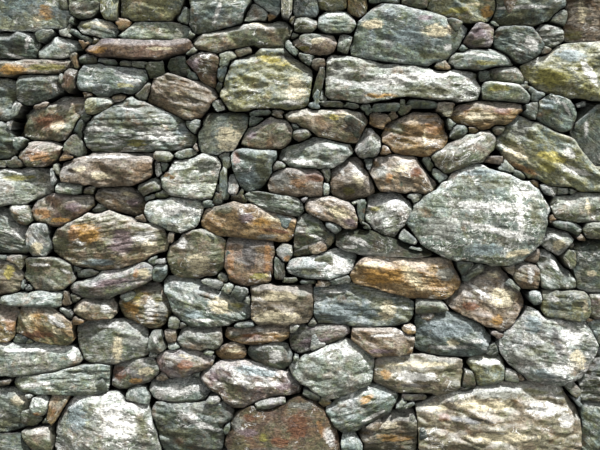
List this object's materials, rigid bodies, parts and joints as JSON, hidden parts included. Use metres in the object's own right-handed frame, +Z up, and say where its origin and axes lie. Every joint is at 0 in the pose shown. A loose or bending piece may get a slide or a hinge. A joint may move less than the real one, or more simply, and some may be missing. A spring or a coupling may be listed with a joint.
{
  "type": "dry stone wall",
  "caption": "Free-standing double dry stone wall of rough schist, with battered faces, a packed core, bonded ends and flat cope slabs, laid without mortar.",
  "frame": {"origin": "on the ground at the middle of the wall", "axes": "+X along the wall, +Z up, the seen face towards -Y"},
  "size_m": [2.44, 0.6421, 1.506],
  "materials": {
    "hearting": "rough split stone",
    "head_stone": "rough split stone",
    "pale_stone": "rough split stone",
    "rust_stone": "rough split stone",
    "buff_stone": "rough split stone",
    "ochre_stone": "rough split stone",
    "veined_stone": "rough split stone",
    "mossy_stone": "rough split stone",
    "blue_stone": "rough split stone",
    "schist": "rough split stone",
    "cope_stone": "rough split stone"
  },
  "bodies": {
    "root": {"hearting": "hearting", "west_head": "head_stone", "east_head": "head_stone", "front_footing": "schist", "front_lift_1": "schist", "front_lift_2": "schist", "front_lift_3": "schist", "front_lift_4": "schist", "front_lift_5": "schist", "front_lift_6": "schist", "front_lift_7": "schist", "front_lift_8": "schist", "front_lift_9": "schist", "back_footing": "schist", "back_lift_1": "schist", "back_lift_2": "schist", "back_lift_3": "schist", "back_lift_4": "schist", "back_lift_5": "schist", "back_lift_6": "schist", "back_lift_7": "schist", "back_lift_8": "schist", "back_lift_9": "schist", "pale_footing_boulder": "pale_stone", "rust_footing_boulder": "rust_stone", "long_base_slab": "buff_stone", "pale_hexagon_stone": "pale_stone", "white_boulder": "pale_stone", "ochre_long_stone": "ochre_stone", "tan_boulder": "buff_stone", "oval_boulder": "veined_stone", "streaked_hump_stone": "veined_stone", "mossy_ramp_stone": "mossy_stone", "mossy_block": "mossy_stone", "long_banded_slab": "veined_stone", "blue_boulder": "blue_stone", "mossy_corner_block": "mossy_stone", "cope_1": "cope_stone", "cope_2": "cope_stone", "cope_3": "cope_stone", "cope_4": "cope_stone", "cope_5": "cope_stone", "cope_6": "cope_stone", "cope_7": "cope_stone"}
  },
  "joints": []
}
